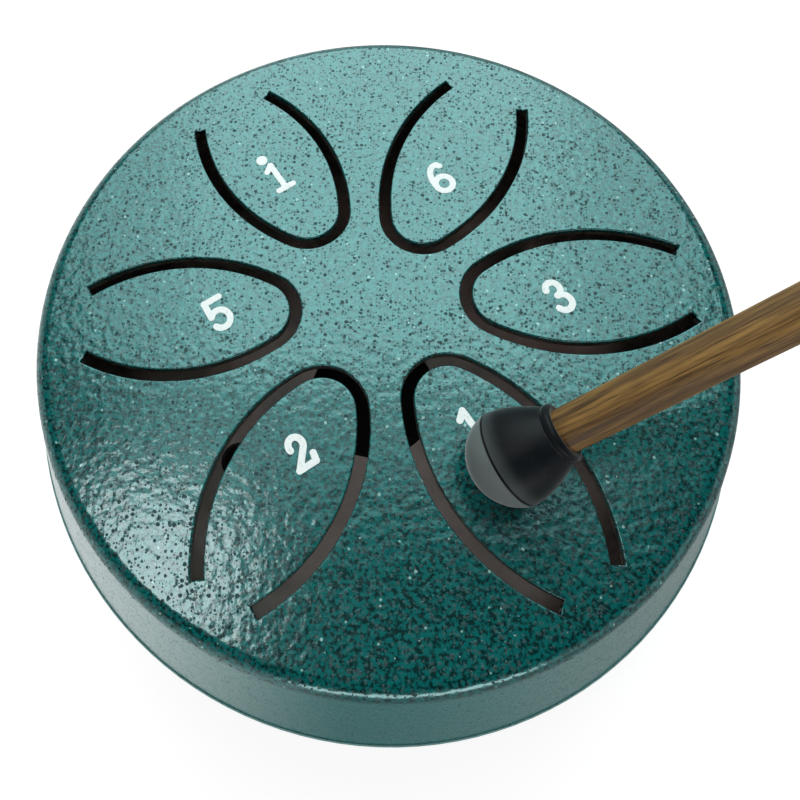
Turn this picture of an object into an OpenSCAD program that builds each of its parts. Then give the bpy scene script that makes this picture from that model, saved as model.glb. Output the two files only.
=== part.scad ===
// Small steel tongue drum: two pressed dishes welded at the seam, six tongues slit into the upper one.
// Origin: centre of the sound hole on the underside of the lower dish. +Z points to the playing face.
// Bearings are degrees about +Z, counter-clockwise from +X.

/* [Shells] */
// Outside diameter of the drum at the welded seam
seam_d = 80; // [76:0.5:90]
// Thickness of the steel sheet
sheet_t = 1; // [0.6:0.1:1.4]
// Height of the upper dish from the seam to its playing face
upper_h = 15.2; // [12:0.2:22]
// Depth of the lower dish from the seam to its flat floor
lower_h = 18; // [14:0.5:24]
// Angle by which the skirts flare outward towards the seam
flare = 20; // [10:0.1:24]
// Outside radius of the bend round the playing face
face_bend_r = 1.8; // [1.4:0.1:4]
// Outside radius of the bend round the lower floor
floor_bend_r = 8; // [4:0.5:10]

/* [Weld] */
// Width of the weld at the outer surface of the seam
weld_w = 1.4; // [0.8:0.1:2]
// Gap between the two rims at the root of the weld
weld_root_gap = 0.3; // [0.2:0.05:0.6]
// Height by which the weld stands proud of the sheet
weld_proud = 0.1; // [0.05:0.05:0.3]
// Radius of the rounded outer face of the weld
weld_crown_r = 1; // [0.9:0.1:1.5]

/* [Sound hole] */
// Diameter of the round hole in the middle of the lower dish
sound_hole_d = 18; // [10:0.5:24]

/* [Tongues] */
// Width of the slots that free the tongues
slot_w = 1.2; // [0.8:0.1:1.6]
// Radius from the axis at which a tongue tip of average place lies
hub_r = 8.3; // [7.8:0.1:9]
// Bearing of the tongue of the high first note
first_bearing = 126.9; // [0:0.1:359]
// Radius of the round tip, to the middle of the slot
tip_r = 3.9; // [3.4:0.1:4.2]
// Angle of the tip arc on each side before the gentler side arc takes over
tip_turn = 58.6; // [54:0.2:64]
// Length of the lowest tongue, note 1, from tip to slot ends
length_1 = 23.2; // [20:0.1:23.8]
// Length of the tongue of note 2
length_2 = 21.9; // [19:0.1:23.2]
// Length of the tongue of note 3
length_3 = 21.7; // [19:0.1:22.8]
// Length of the tongue of note 5
length_5 = 21.3; // [18:0.1:23]
// Length of the tongue of note 6
length_6 = 21.4; // [18:0.1:23]
// Length of the tongue of the high first note
length_i = 20.1; // [17:0.1:22]

/* [Feet] */
// Diameter of a rubber foot at its shoulder
foot_d = 8; // [6:0.5:10]
// Height of a rubber foot under the lower dish
foot_h = 3.6; // [2.5:0.1:6]
// Radius from the axis to a foot
foot_ring_r = 21; // [17:0.5:23]
// Diameter of the hole that a foot's stem is pushed through
foot_hole_d = 3.4; // [2.4:0.1:4.5]
// Diameter of the retaining collar inside the dish
foot_collar_d = 5; // [4.6:0.1:6]
// Height of the retaining collar
foot_collar_h = 1.4; // [1:0.1:2]

/* [Mallet] */
// Diameter of the wooden stick
stick_d = 3.7; // [3:0.1:4.2]
// Length of the wooden stick
stick_len = 125; // [80:1:200]
// Greatest diameter of the rubber head, at its parting line
head_d = 8.4; // [8:0.1:10]
// Length of the dome in front of the parting line
dome_len = 3.65; // [3:0.05:4]
// Length of the barrel behind the parting line, up to the rolled lip
barrel_len = 4.4; // [4:0.1:6]
// Diameter to which the barrel tapers at its end
barrel_end_d = 5.1; // [4.8:0.1:6.5]
// Height of the barrel's gentle bulge over a straight taper
barrel_bulge = 0.25; // [0.1:0.05:0.4]
// Radius of the rolled lip's round section
lip_r = 0.4; // [0.3:0.05:0.5]
// Depth of the blind hole in front of the parting line
socket_depth = 0.6; // [0.2:0.1:1.2]
// Radius of the mark left by the mould's parting line
parting_mark_r = 0.12; // [0.06:0.02:0.2]
// Radius of the playing point on the drum, under the head's parting line
strike_r = 19.45; // [14:0.1:26]
// Bearing of the playing point
strike_bearing = -53; // [-60:0.5:-44]
// Bearing towards which the stick runs from the head
stick_bearing = 25.6; // [10:0.2:45]
// Angle by which the stick rises above the playing face
stick_rise = 36; // [20:0.5:50]
// Clear height between the head and the playing face
strike_gap = 0.3; // [0.2:0.05:0.6]

/* [Hidden] */
$fn = 96;

// Overrun of every cut past the solid that it cuts
over = 1;
// Radial clearance of a foot's stem in its hole and of the stick in its socket
push_gap = 0.02;

seam_r = seam_d / 2;
seam_z = lower_h;
face_z = seam_z + upper_h;

// Tongues in order round the drum, clockwise from the first bearing
tongue_lengths = [length_i, length_6, length_3, length_1, length_2, length_5];
tongue_count = len(tongue_lengths);
tongue_step = -360 / tongue_count;
// Radius of each tip as a share of the hub radius
tip_place_shares = [1.1, 0.88, 1.07, 0.955, 1.01, 0.99];
// Half the gap between a tongue's slot ends as a share of the tip radius
root_gap_shares = [1.15, 1.13, 0.93, 0.77, 0.72, 0.92];

// Outward normal of a skirt and the way up along it, as [radius, height over the seam]
skirt_normal = [cos(flare), sin(flare)];
skirt_along = [-sin(flare), cos(flare)];

// Centre of the bend between a dish's skirt and its flat face
function bend_centre(depth, bend_r) =
    let (
        start = [seam_r, 0] - bend_r * skirt_normal,
        run = (depth - bend_r - start[1]) / skirt_along[1]
    )
    start + run * skirt_along;

// Half outline of a dish, inset from its outer surface. The polygon's chord across the bend lies
// inside the circle that rounds it.
module dish_outline(depth, bend_r, inset) {
    centre = bend_centre(depth, bend_r);
    bend_in = bend_r - inset;
    skirt_foot = [seam_r, 0] - inset * skirt_normal - over / skirt_along[1] * skirt_along;
    polygon([
        [0, skirt_foot[1]],
        skirt_foot,
        centre + bend_in * skirt_normal,
        centre + [0, bend_in],
        [0, depth - inset]
    ]);
    translate(centre) circle(r = bend_in);
}

// Tapered section of the weld, open towards the outside by as much as is asked for
module weld_groove(reach) {
    root_r = seam_r - sheet_t;
    slope = (weld_w - weld_root_gap) / (2 * sheet_t);
    half_mouth = weld_root_gap / 2 + (sheet_t + reach) * slope;
    polygon([
        [root_r, -weld_root_gap / 2],
        [seam_r + reach, -half_mouth],
        [seam_r + reach, half_mouth],
        [root_r, weld_root_gap / 2]
    ]);
}

// Room for the weld between the two rims, cut from both dishes
module seam_cut() {
    rotate_extrude() {
        weld_groove(over);
        translate([0, -weld_root_gap / 2]) square([seam_r - sheet_t + push_gap, weld_root_gap]);
    }
}

// Pressed sheet dish standing on the seam plane, with its rim bevelled for the weld
module dish(depth, bend_r) {
    difference() {
        rotate_extrude() intersection() {
            difference() {
                dish_outline(depth, bend_r, 0);
                dish_outline(depth, bend_r, sheet_t);
            }
            square([seam_r, depth]);
        }
        seam_cut();
    }
}

// Tongue outline about the centre of its round tip, grown from the middle of the slot. The tip's
// circle touches two larger side circles from within, at tip_turn to each side of the tip.
module tongue_outline(side_r, side_x, side_y, reach, grow) {
    intersection() {
        translate([side_x, -side_y]) circle(r = side_r + grow);
        translate([side_x, side_y]) circle(r = side_r + grow);
        polygon([
            [0, 0],
            reach * [-cos(tip_turn), sin(tip_turn)],
            [reach + slot_w, reach],
            [reach + slot_w, -reach],
            reach * [-cos(tip_turn), -sin(tip_turn)]
        ]);
    }
    circle(r = tip_r + grow);
}

// Slot round one tongue whose tip points along -X, with its two ends cut square
module tongue_slot(tip_x, root_x, root_half_gap) {
    reach = root_x - tip_x - tip_r;
    extra = (reach * reach + root_half_gap * root_half_gap - tip_r * tip_r)
        / (2 * (tip_r + reach * cos(tip_turn) - root_half_gap * sin(tip_turn)));
    side_r = tip_r + extra;
    side_x = extra * cos(tip_turn);
    side_y = extra * sin(tip_turn);
    root = [reach, root_half_gap];
    across = slot_w * (root - [side_x, -side_y]) / side_r;
    translate([tip_x + tip_r, 0])
        intersection() {
            difference() {
                tongue_outline(side_r, side_x, side_y, reach, slot_w / 2);
                tongue_outline(side_r, side_x, side_y, reach, -slot_w / 2);
            }
            polygon([
                root - across,
                root + across,
                [-reach, reach],
                [-reach, -reach],
                [root[0] + across[0], -root[1] - across[1]],
                [root[0] - across[0], across[1] - root[1]]
            ]);
        }
}

module tongue_slots() {
    for (i = [0 : tongue_count - 1]) {
        tip_x = hub_r * tip_place_shares[i];
        rotate(first_bearing + i * tongue_step)
            tongue_slot(tip_x, tip_x + tongue_lengths[i], tip_r * root_gap_shares[i]);
    }
}

// Bearing halfway between two tongues, where the revolved dish may start and end
web_bearing = first_bearing + tongue_step / 2;
slot_floor = upper_h - face_bend_r - over;
slot_cut_h = face_bend_r + 2 * over;

module top_shell() {
    color("teal")
        translate([0, 0, seam_z])
            difference() {
                rotate([0, 0, web_bearing]) dish(upper_h, face_bend_r);
                translate([0, 0, slot_floor]) linear_extrude(slot_cut_h) tongue_slots();
            }
}

// The lower dish is the same kind of pressing turned over
module bottom_shell() {
    color("darkslategray")
        difference() {
            translate([0, 0, seam_z]) mirror([0, 0, 1]) dish(lower_h, floor_bend_r);
            translate([0, 0, -over]) cylinder(d = sound_hole_d, h = sheet_t + 2 * over);
            for (i = [0 : FOOT_COUNT - 1])
                at_foot(i) translate([0, 0, -over]) cylinder(d = foot_hole_d, h = sheet_t + 2 * over);
        }
}

module weld_bead() {
    color("lightslategray")
        translate([0, 0, seam_z])
            rotate_extrude() intersection() {
                weld_groove(over);
                translate([seam_r + weld_proud - weld_crown_r, 0]) circle(r = weld_crown_r);
            }
}

FOOT_COUNT = 3;
FIRST_FOOT_BEARING = 90;
foot_taper = foot_h / 4;
foot_edge = foot_h / 6;

module at_foot(i) {
    rotate([0, 0, FIRST_FOOT_BEARING + i * 360 / FOOT_COUNT]) translate([foot_ring_r, 0, 0]) children();
}

// Push-in foot: tapered pad under the dish, stem in the sheet and a collar that springs out inside
module foot(i) {
    shoulder_r = foot_d / 2;
    stem_r = foot_hole_d / 2 - push_gap;
    collar_r = foot_collar_d / 2;
    color("dimgray")
        at_foot(i) rotate_extrude() polygon([
            [0, -foot_h],
            [shoulder_r - foot_taper - foot_edge, -foot_h],
            [shoulder_r - foot_taper, foot_edge - foot_h],
            [shoulder_r, -foot_edge],
            [shoulder_r, 0],
            [stem_r, 0],
            [stem_r, sheet_t],
            [collar_r, sheet_t],
            [stem_r, sheet_t + foot_collar_h],
            [0, sheet_t + foot_collar_h]
        ]);
}

module foot_1() {
    foot(0);
}

module foot_2() {
    foot(1);
}

module foot_3() {
    foot(2);
}

// Head of the mallet, along +Z from its dome to the stick, with the parting line at zero
head_r = head_d / 2;
dome_r = (head_r * head_r + dome_len * dome_len) / (2 * dome_len);
dome_centre = dome_r - dome_len;
barrel_end_r = barrel_end_d / 2;
barrel_drop = head_r - barrel_end_r;
barrel_chord = norm([barrel_len, barrel_drop]);
barrel_curve_r = (barrel_chord * barrel_chord / 4 + barrel_bulge * barrel_bulge) / (2 * barrel_bulge);
barrel_reach = (barrel_curve_r - barrel_bulge) / barrel_chord;
barrel_centre_r = (head_r + barrel_end_r) / 2 - barrel_reach * barrel_len;
barrel_centre_z = barrel_len / 2 - barrel_reach * barrel_drop;
lip_centre_r = barrel_end_r - lip_r;
socket_r = stick_d / 2 + push_gap;
neck_r = barrel_end_r - lip_r / 4;
head_len = barrel_len + 2 * lip_r;

module head_outline() {
    intersection() {
        translate([0, dome_centre]) circle(r = dome_r);
        translate([0, -dome_len]) square([head_r, dome_len]);
    }
    intersection() {
        translate([barrel_centre_r, barrel_centre_z]) circle(r = barrel_curve_r);
        square([head_r, barrel_len]);
    }
    translate([0, barrel_len - lip_r / 2]) square([neck_r, 1.5 * lip_r]);
    translate([lip_centre_r, barrel_len + lip_r]) circle(r = lip_r);
}

// Places a mallet piece with its axis along the stick and its dome just clear of the playing face
strike_z = face_z + strike_gap + dome_r - dome_centre * sin(stick_rise);

module on_mallet() {
    rotate([0, 0, strike_bearing]) translate([strike_r, 0, strike_z])
        rotate([0, 90 - stick_rise, stick_bearing - strike_bearing])
            children();
}

module mallet_head() {
    color("#2b2f33")
        on_mallet() difference() {
            rotate_extrude() difference() {
                head_outline();
                translate([head_r, 0]) circle(r = parting_mark_r);
            }
            translate([0, 0, -socket_depth]) cylinder(r = socket_r, h = socket_depth + head_len + over);
        }
}

stick_chamfer = stick_d / 8;
stick_end_r = stick_d / 2;

module mallet_stick() {
    grip_z = stick_len - socket_depth;
    color("#8a6a3c")
        on_mallet() rotate_extrude() {
            polygon([
                [0, -socket_depth],
                [stick_end_r - stick_chamfer, -socket_depth],
                [stick_end_r, stick_chamfer - socket_depth],
                [stick_end_r, grip_z - stick_end_r],
                [0, grip_z - stick_end_r]
            ]);
            intersection() {
                translate([0, grip_z - stick_end_r]) circle(r = stick_end_r);
                translate([0, grip_z - stick_end_r]) square(stick_end_r);
            }
        }
}

top_shell();
bottom_shell();
weld_bead();
foot_1();
foot_2();
foot_3();
mallet_head();
mallet_stick();
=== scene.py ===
"""Looks of a small steel tongue drum and its mallet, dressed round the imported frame."""

import logging
import math
from dataclasses import dataclass, field
from enum import Enum
from typing import Optional, Sequence

import bpy
import numpy as np
from mathutils import Matrix, Vector
from mathutils.geometry import delaunay_2d_cdt


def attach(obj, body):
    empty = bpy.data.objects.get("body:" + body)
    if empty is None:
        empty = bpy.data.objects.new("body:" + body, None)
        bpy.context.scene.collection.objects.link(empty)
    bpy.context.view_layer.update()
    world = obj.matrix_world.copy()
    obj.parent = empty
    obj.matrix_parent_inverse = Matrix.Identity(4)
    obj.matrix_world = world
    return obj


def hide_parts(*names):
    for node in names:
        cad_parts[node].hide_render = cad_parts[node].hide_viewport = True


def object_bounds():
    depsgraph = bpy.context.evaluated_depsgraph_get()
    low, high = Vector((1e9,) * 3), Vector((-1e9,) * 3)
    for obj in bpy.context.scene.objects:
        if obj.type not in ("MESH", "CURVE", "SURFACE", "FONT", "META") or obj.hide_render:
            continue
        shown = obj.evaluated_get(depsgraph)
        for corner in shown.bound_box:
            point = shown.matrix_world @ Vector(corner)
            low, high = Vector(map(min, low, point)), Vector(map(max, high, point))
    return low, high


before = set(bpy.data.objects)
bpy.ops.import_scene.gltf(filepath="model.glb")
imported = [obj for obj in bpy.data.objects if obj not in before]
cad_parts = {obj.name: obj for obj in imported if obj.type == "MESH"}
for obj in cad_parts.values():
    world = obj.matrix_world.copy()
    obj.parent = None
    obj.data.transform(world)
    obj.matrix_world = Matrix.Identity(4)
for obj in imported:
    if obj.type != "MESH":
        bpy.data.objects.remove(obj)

LOG = logging.getLogger("tongue_drum")
CAD_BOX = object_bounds()
MM = 0.001
PHOTO_PX = 800
JOIN_GAP_MM = 1e-4
SAME_POINT_MM = 1e-9
STROKE_STEPS = 40
EDGE_STEPS = 6
# Black of the painted shade along the mallet head's parting groove.
BLACK = (0.0, 0.0, 0.0, 1.0)
# Parts of a place, for Wires.part.
X, Z = 0, 2
# Order of the materials on a pressed dish.
PAINTED, CUT, BARE = range(3)

Array = np.ndarray
Socket = bpy.types.NodeSocket
Node = bpy.types.Node
Tree = bpy.types.NodeTree
Material = bpy.types.Material


class Finish(Enum):
    """Named finishes, one material each."""

    PAINT = "speckled_teal_paint"
    WELD = "painted_weld"
    SLOT_WALL = "cut_steel"
    INSIDE = "raw_steel"
    INK = "white_ink"
    HEAD = "moulded_rubber"
    STICK = "oiled_wood"
    FOOT = "foot_rubber"
    FLOOR = "pale_floor"


class Wires:
    """Adds nodes to one tree and links them.

    Where a method takes an object, that is a socket to link or a plain value to set.
    """

    def __init__(self, tree: Tree) -> None:
        """Keeps the tree that the nodes go into."""
        self.tree = tree
        self.count = 0

    def add(self, kind: str, feeds: Optional[dict] = None, **values: object) -> Node:
        """Adds one node.

        Args:
            kind: Blender's type name of the node.
            feeds: Sockets or plain values for its inputs, by their name or place.
            values: Properties of the node, such as its operation.

        Returns:
            The new node.
        """
        node = self.tree.nodes.new(kind)
        for name, value in values.items():
            setattr(node, name, value)
        self.feed(node, feeds or {})
        self.count += 1
        node.location = (self.count % 8 * 220.0, -(self.count // 8) * 260.0)
        return node

    def feed(self, node: Node, feeds: dict) -> None:
        """Fills inputs of a node.

        Args:
            node: The node.
            feeds: Sockets or plain values, by the input's name or place.
        """
        for name, value in feeds.items():
            if isinstance(value, bpy.types.NodeSocket):
                self.tree.links.new(value, node.inputs[name])
            else:
                node.inputs[name].default_value = value

    def fed(self, kind: str, feeds: dict, output: object = 0, **values: object) -> Socket:
        """Adds a node with its inputs filled, and gives one output by its name or place."""
        return self.add(kind, feeds, **values).outputs[output]

    def math(self, operation: str, *values: object, clamp: bool = False) -> Socket:
        """A sum of up to three values, by its name, kept between 0 and 1 if clamped."""
        return self.fed("ShaderNodeMath", dict(enumerate(values)), operation=operation, use_clamp=clamp)

    def vector(self, operation: str, *values: object, output: str = "Vector") -> Socket:
        """A sum of up to three vectors, by its name."""
        return self.fed("ShaderNodeVectorMath", dict(enumerate(values)), output, operation=operation)

    def part(self, vector: Socket, axis: int) -> Socket:
        """The part of a vector along X or Z."""
        return self.fed("ShaderNodeSeparateXYZ", {0: vector}, axis)

    def step(self, value: object, low: float, high: float) -> Socket:
        """Maps the span low to high onto 0 to 1 along a smooth step, which falls if high is less."""
        feeds = {"Value": value, "From Min": low, "From Max": high}
        return self.fed("ShaderNodeMapRange", feeds, "Result", interpolation_type="SMOOTHSTEP")

    def span(self, value: object, low: float, high: float) -> Socket:
        """Maps 0 to 1 onto low to high in a straight line."""
        return self.fed("ShaderNodeMapRange", {"Value": value, "To Min": low, "To Max": high}, "Result")

    def mix(self, share: object, first: object, second: object) -> Socket:
        """Mixes two colours: a share of 0 gives the first and 1 the second."""
        return self.fed("ShaderNodeMix", {0: share, 6: first, 7: second}, 2, data_type="RGBA")

    def place(self, scale: tuple = (1, 1, 1), turn: tuple = (0, 0, 0)) -> Socket:
        """Object coordinates, scaled and turned by Euler angles in radians."""
        feeds = {0: self.fed("ShaderNodeTexCoord", {}, "Object"), "Rotation": turn, "Scale": scale}
        return self.fed("ShaderNodeMapping", feeds, vector_type="POINT")

    def noise(self, place: Socket, scale: object, detail: float = 2.0, rough: float = 0.5) -> Socket:
        """Noise around one half, its scale in lumps to the metre."""
        feeds = {"Vector": place, "Scale": scale, "Detail": detail, "Roughness": rough}
        return self.fed("ShaderNodeTexNoise", feeds, "Fac")

    def bump(self, height: Socket, distance: float, strength: float, **under: Socket) -> Socket:
        """Normal of a height from 0 to 1, its distance in metres, over the Normal under it."""
        feeds = {"Height": height, "Distance": distance, "Strength": strength, **under}
        return self.fed("ShaderNodeBump", feeds, "Normal")

    def group(self, tree: Tree, **values: float) -> Socket:
        """The one output of a node group, with values for its inputs by name."""
        return self.fed("ShaderNodeGroup", values, node_tree=tree)


class EffectGroup(Wires):
    """A shader node group in the making, with plain numbers for its inputs and its output."""

    def __init__(self, name: str, output: str, **inputs: float) -> None:
        """Starts the group.

        Args:
            name: Name of the group.
            output: Name of its output.
            inputs: Default values of its inputs, by name.
        """
        super().__init__(bpy.data.node_groups.new(name, "ShaderNodeTree"))
        sockets = self.tree.interface
        for label, value in inputs.items():
            socket = sockets.new_socket(label, in_out="INPUT", socket_type="NodeSocketFloat")
            socket.default_value = value
        sockets.new_socket(output, in_out="OUTPUT", socket_type="NodeSocketFloat")
        self.given = self.add("NodeGroupInput").outputs

    def finished(self, value: Socket) -> Tree:
        """Sends a value to the group's output and gives the group."""
        self.add("NodeGroupOutput", {0: value})
        return self.tree


def speckle_group() -> Tree:
    """Specks of random size: each covers the points nearer its cell's middle than a random radius.

    The places are pushed about first by a noise of three times the cells' scale, so no speck is round.

    Returns:
        A group with the inputs Scale, Size and Share, and the output Mask.
    """
    wires = EffectGroup("specks", "Mask", Scale=1000.0, Size=0.3, Share=0.5)
    scale = wires.given["Scale"]
    wobble_scale, wobble_reach, soft_edge = 3.0, 0.22, (-0.03, 0.05)
    place = wires.place()
    feeds = {"Vector": place, "Scale": wires.math("MULTIPLY", scale, wobble_scale)}
    wobble = wires.fed("ShaderNodeTexNoise", feeds, "Color")
    shifted = wires.vector("MULTIPLY_ADD", wobble, wires.math("DIVIDE", wobble_reach, scale), place)
    cells = wires.add("ShaderNodeTexVoronoi", {"Vector": shifted, "Scale": scale}, feature="F1")
    chance = wires.add("ShaderNodeSeparateColor", {0: cells.outputs["Color"]}).outputs
    size = wires.math("MULTIPLY", wires.math("POWER", chance[0], 2.0), wires.given["Size"])
    shown = wires.math("LESS_THAN", chance[1], wires.given["Share"])
    edge = wires.step(wires.math("SUBTRACT", size, cells.outputs["Distance"]), *soft_edge)
    return wires.finished(wires.math("MULTIPLY", edge, shown))


def peel_group() -> Tree:
    """Orange peel of sprayed paint: soft round lumps with finer ripples over them.

    Returns:
        A group with the input Scale and the output Height.
    """
    wires = EffectGroup("orange_peel", "Height", Scale=1500.0)
    scale = wires.given["Scale"]
    ripple_scale, ripple_share = 2.6, 0.25
    place = wires.place()
    lumps = wires.noise(place, scale, detail=1.0, rough=0.4)
    ripples = wires.noise(place, wires.math("MULTIPLY", scale, ripple_scale), detail=1.0)
    return wires.finished(wires.math("MULTIPLY_ADD", ripples, ripple_share, lumps))


def dust_group() -> Tree:
    """Dust and lint: small pale specks that gather where a slow noise is high.

    Returns:
        A group with the inputs Scale and Amount, and the output Mask.
    """
    wires = EffectGroup("dust", "Mask", Scale=2500.0, Amount=0.5)
    scale = wires.given["Scale"]
    drift_scale, grain_edge, drift_edge = 0.12, (0.66, 0.80), (0.42, 0.70)
    place = wires.place()
    grains = wires.step(wires.noise(place, scale, detail=1.0, rough=0.6), *grain_edge)
    slow = wires.noise(place, wires.math("MULTIPLY", scale, drift_scale))
    drifts = wires.math("MULTIPLY", grains, wires.step(slow, *drift_edge))
    return wires.finished(wires.math("MULTIPLY", drifts, wires.given["Amount"]))


@dataclass(frozen=True)
class Effects:
    """The shared node groups."""

    specks: Tree
    peel: Tree
    dust: Tree


class Coat(Wires):
    """A material in the making, round its Principled BSDF."""

    def __init__(self, name: Finish) -> None:
        """Starts the material.

        Args:
            name: The finish that it is for.
        """
        self.material = bpy.data.materials.new(name.value)
        self.material.use_nodes = True
        super().__init__(self.material.node_tree)
        self.shader = self.tree.nodes["Principled BSDF"]

    def finished(self, feeds: dict) -> Material:
        """Fills the shader's inputs by name and gives the material."""
        self.feed(self.shader, feeds)
        return self.material


@dataclass(frozen=True)
class TealPaint:
    """Glossy speckled paint over the steel. Below side_z, in metres, the skirt is painted paler and
    plainer: a painted reflection of the white table that it mirrors.

    Each size of specks has its cells to the metre, their radius, the share of cells, and a strength.
    """

    base: tuple = (0.0020, 0.112, 0.107, 1.0)
    deep: tuple = (0.001, 0.020, 0.020, 1.0)
    # Painted reflection: the skirt's pale tone stands in for the white table mirrored in it.
    side: tuple = (0.028, 0.190, 0.184, 1.0)
    dark_speck: tuple = (0.001, 0.008, 0.010, 1.0)
    pale_speck: tuple = (0.34, 0.56, 0.52, 1.0)
    sheen: tuple = (0.60, 1.0, 1.0, 1.0)
    side_z: float = 0.0315
    side_blend: float = 0.001
    # Painted reflection: the specks thin out on the skirt, as if washed out by the mirrored table.
    side_specks: float = 0.35
    mottle: tuple = (2600.0, 2.0, 0.6)
    mottle_edge: tuple = (0.38, 0.60)
    fine: tuple = (3600.0, 0.62, 0.90, 0.75)
    coarse: tuple = (2050.0, 0.42, 0.85, 0.95)
    pale: tuple = (2100.0, 0.36, 0.17, 0.70)
    peel_scale: float = 1150.0
    peel_bump: tuple = (0.00006, 0.8)
    speck_bump: tuple = (0.00003, 0.6)
    rough_scale: float = 350.0
    rough: tuple = (0.15, 0.19)
    speck_rough: float = 0.6
    finish: Finish = Finish.PAINT

    def build(self, effects: Effects) -> Material:
        """Builds the paint: mottled teal, three sizes of specks and an orange-peel normal.

        Args:
            effects: The shared node groups.

        Returns:
            The material.
        """
        coat = Coat(self.finish)
        place = coat.place()
        mottle = coat.step(coat.noise(place, *self.mottle), *self.mottle_edge)
        # Painted reflection: below side_z the colour turns to the pale side tone and the specks thin
        # out.
        above = coat.step(coat.part(place, Z), self.side_z, self.side_z + self.side_blend)
        colour = coat.mix(above, self.side, coat.mix(mottle, self.deep, self.base))
        on_face = coat.span(above, self.side_specks, 1.0)
        masks = []
        for scale, size, share, strength in (self.fine, self.coarse, self.pale):
            mask = coat.group(effects.specks, Scale=scale, Size=size, Share=share)
            masks.append(coat.math("MULTIPLY", coat.math("MULTIPLY", mask, strength), on_face))
        fine, coarse, pale = masks
        colour = coat.mix(fine, colour, self.dark_speck)
        colour = coat.mix(coarse, colour, self.dark_speck)
        rough = coat.span(coat.noise(place, self.rough_scale), *self.rough)
        dark = coat.math("MAXIMUM", coarse, fine)
        peel = coat.bump(coat.group(effects.peel, Scale=self.peel_scale), *self.peel_bump)
        return coat.finished({
            "Base Color": coat.mix(pale, colour, self.pale_speck),
            "Roughness": coat.math("MULTIPLY_ADD", dark, self.speck_rough, rough, clamp=True),
            "Specular IOR Level": 1.0,
            "Specular Tint": self.sheen,
            "Normal": coat.bump(coarse, *self.speck_bump, Normal=peel),
        })


@dataclass(frozen=True)
class CutSteel:
    """Wall of a sawn slot: dull brown-grey steel with streaks down the cut."""

    pale: tuple = (0.30, 0.25, 0.215, 1.0)
    dark: tuple = (0.055, 0.048, 0.044, 1.0)
    streak_scale: tuple = (1.0, 1.0, 0.25)
    streak_noise: tuple = (2600.0, 4.0, 0.7)
    stain_noise: tuple = (420.0, 3.0, 0.6)
    streak_share: float = 0.6
    pale_edge: tuple = (0.55, 1.0)
    rough: tuple = (0.38, 0.62)
    metal: tuple = (0.35, 0.75)
    streak_bump: tuple = (0.00004, 0.6)

    def build(self) -> Material:
        """Builds the wall's finish: noise drawn out up and down, over a slow stain.

        Returns:
            The material.
        """
        coat = Coat(Finish.SLOT_WALL)
        streaks = coat.noise(coat.place(scale=self.streak_scale), *self.streak_noise)
        stain = coat.noise(coat.place(), *self.stain_noise)
        both = coat.math("MULTIPLY_ADD", streaks, self.streak_share, stain)
        return coat.finished({
            "Base Color": coat.mix(coat.step(both, *self.pale_edge), self.dark, self.pale),
            "Roughness": coat.span(streaks, *self.rough),
            "Metallic": coat.span(stain, *self.metal),
            "Normal": coat.bump(streaks, *self.streak_bump),
        })


@dataclass(frozen=True)
class RawSteel:
    """Unpainted inner side of the pressed sheet, painted bright near the floor as the light that falls
    in through the slots.
    """

    pale: tuple = (0.34, 0.285, 0.265, 1.0)
    dark: tuple = (0.14, 0.117, 0.112, 1.0)
    # Painted light: this pale tone on the floor inside stands in for light falling through the slots.
    floor_glint: tuple = (0.95, 0.85, 0.78, 1.0)
    floor_edge: tuple = (0.007, 0.0015)
    scale_noise: tuple = (260.0, 5.0, 0.65)
    pale_edge: tuple = (0.35, 0.7)
    glint_share: tuple = (0.5, 1.0)
    rough: tuple = (0.45, 0.7)
    scale_bump: tuple = (0.00003, 0.5)

    def build(self) -> Material:
        """Builds the inner side's finish: clouds of mill scale, with painted light near the floor.

        Returns:
            The material.
        """
        coat = Coat(Finish.INSIDE)
        place = coat.place()
        scale = coat.noise(place, *self.scale_noise)
        colour = coat.mix(coat.step(scale, *self.pale_edge), self.dark, self.pale)
        # Painted light: the floor inside turns pale, as if lit through the slots.
        low = coat.step(coat.part(place, Z), *self.floor_edge)
        lit_floor = coat.math("MULTIPLY", low, coat.span(scale, *self.glint_share))
        return coat.finished({
            "Base Color": coat.mix(lit_floor, colour, self.floor_glint),
            "Roughness": coat.span(scale, *self.rough),
            "Metallic": 0.2,
            "Normal": coat.bump(scale, *self.scale_bump),
        })


@dataclass(frozen=True)
class WhiteInk:
    """Screen-printed white numerals, slightly worn by the paint's texture."""

    white: tuple = (0.78, 0.84, 0.83, 1.0)
    worn: tuple = (0.34, 0.48, 0.46, 1.0)
    wear_noise: tuple = (3200.0, 3.0, 0.6)
    wear_edge: tuple = (0.56, 0.74)
    wear_share: float = 0.6
    rough: tuple = (0.42, 0.6)
    peel_scale: float = 1250.0
    peel_bump: tuple = (0.00007, 0.5)

    def build(self, effects: Effects) -> Material:
        """Builds the ink: white, thinned where a fine noise is high.

        Args:
            effects: The shared node groups.

        Returns:
            The material.
        """
        coat = Coat(Finish.INK)
        wear = coat.step(coat.noise(coat.place(), *self.wear_noise), *self.wear_edge)
        height = coat.group(effects.peel, Scale=self.peel_scale)
        thinned = coat.math("MULTIPLY", wear, self.wear_share)
        return coat.finished({
            "Base Color": coat.mix(thinned, self.white, self.worn),
            "Roughness": coat.span(wear, *self.rough),
            "Normal": coat.bump(height, *self.peel_bump),
        })


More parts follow.
